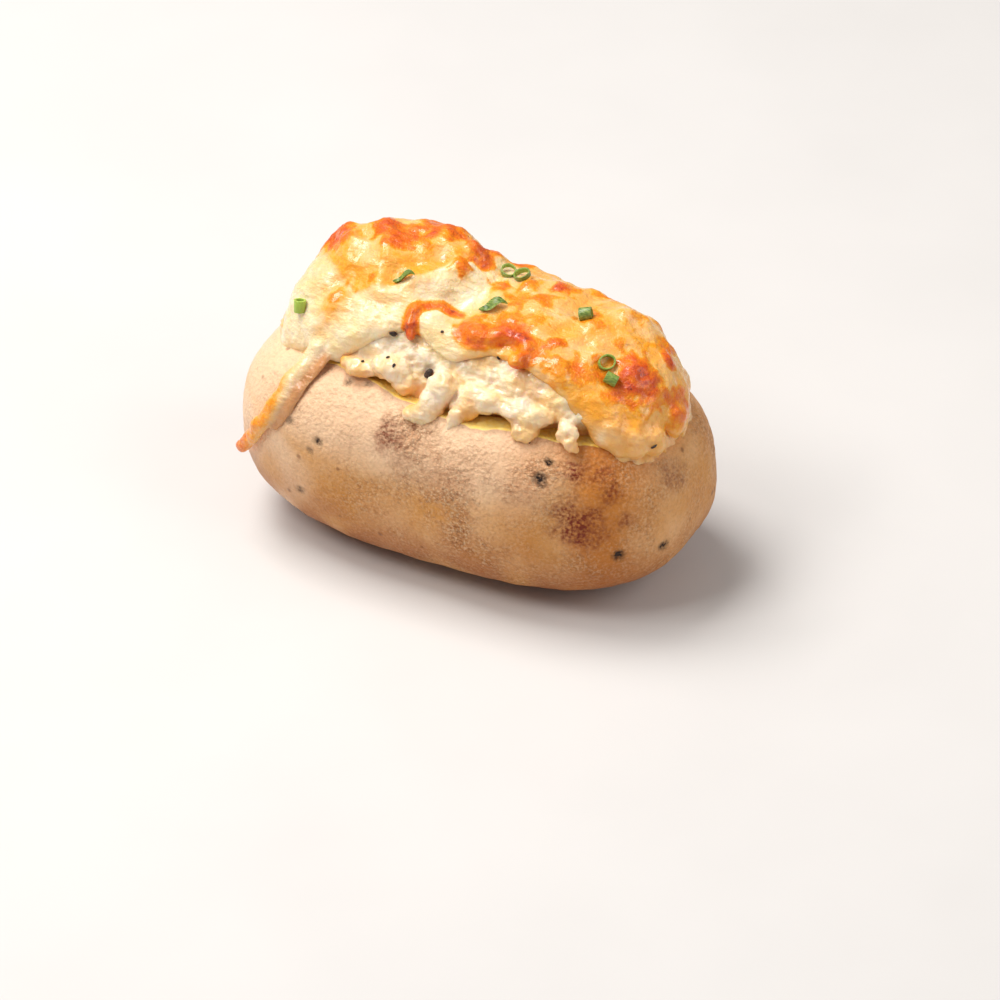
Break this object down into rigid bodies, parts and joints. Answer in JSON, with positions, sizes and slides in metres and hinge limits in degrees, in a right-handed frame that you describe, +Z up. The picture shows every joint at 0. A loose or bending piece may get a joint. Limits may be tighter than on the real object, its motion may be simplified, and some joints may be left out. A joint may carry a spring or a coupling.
{
  "type": "stuffed potato",
  "caption": "Baked potato in its skin, cut open and filled with mash under browned melted cheese with cut chives",
  "frame": {"origin": "centre of the small flat spot that the potato rests on", "axes": "+X along the potato, +Z up, the front that shows the mash faces -Y"},
  "size_m": [0.1082, 0.0606, 0.0681],
  "materials": {
    "potato_skin": "dry, netted brown potato skin with pale yellow flesh at the cut rim",
    "mash": "moist pale yellow mash, lumpy, with black pepper",
    "melted_cheese": "glossy melted cheese, pale to golden, browned on its high spots, with green chives"
  },
  "bodies": {
    "root": {"potato": "potato_skin", "mash": "mash", "melted_cheese": "melted_cheese"}
  },
  "joints": []
}
